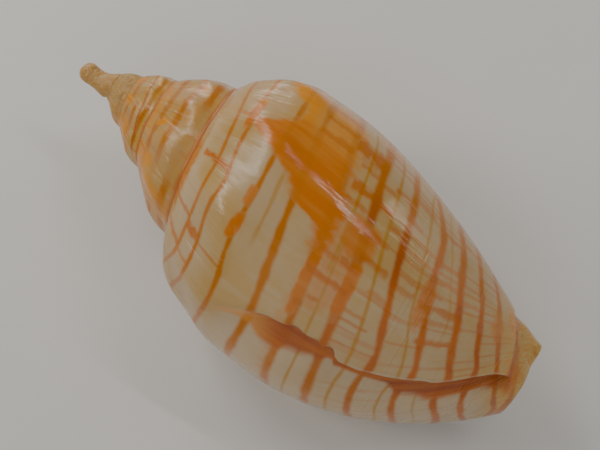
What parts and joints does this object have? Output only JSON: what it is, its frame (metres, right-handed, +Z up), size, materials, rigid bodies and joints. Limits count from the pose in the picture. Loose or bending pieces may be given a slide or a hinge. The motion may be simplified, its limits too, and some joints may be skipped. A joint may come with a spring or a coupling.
{
  "type": "volute shell",
  "caption": "Hollow right-handed coiled sea snail shell with a finger-like apex, knobbed shoulder and long aperture, lying aperture down.",
  "frame": {"origin": "under the middle of the shell, on the surface that it lies on", "axes": "+X towards the canal end, apex at -X; +Z up, away from the aperture; outer lip at -Y"},
  "size_m": [0.1196, 0.0586, 0.0513],
  "materials": {
    "shell": "glossy natural glaze"
  },
  "bodies": {
    "root": {"shell": "shell"}
  },
  "joints": []
}
